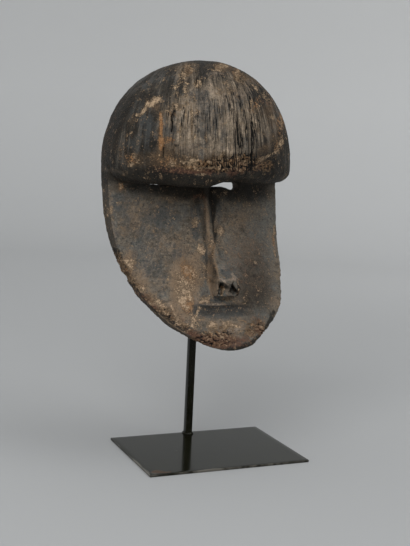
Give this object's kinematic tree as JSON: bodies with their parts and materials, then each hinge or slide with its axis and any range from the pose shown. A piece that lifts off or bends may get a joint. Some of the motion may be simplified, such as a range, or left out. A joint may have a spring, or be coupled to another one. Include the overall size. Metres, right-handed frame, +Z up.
{
  "type": "carved monkey mask on a stand",
  "caption": "Carved wooden monkey mask with a domed visor brow, narrow nose and sweeping face board, on a blackened steel post with a thin base plate.",
  "frame": {"origin": "centre of the base plate's underside", "axes": "+Z up along the post, -Y the way the mask faces, +X to the viewer's right"},
  "size_m": [0.162, 0.1266, 0.3274],
  "materials": {
    "carved_wood": "matte",
    "blackened_steel": "gloss"
  },
  "bodies": {
    "root": {"mask": "carved_wood", "post": "blackened_steel", "base_plate": "blackened_steel"}
  },
  "joints": []
}
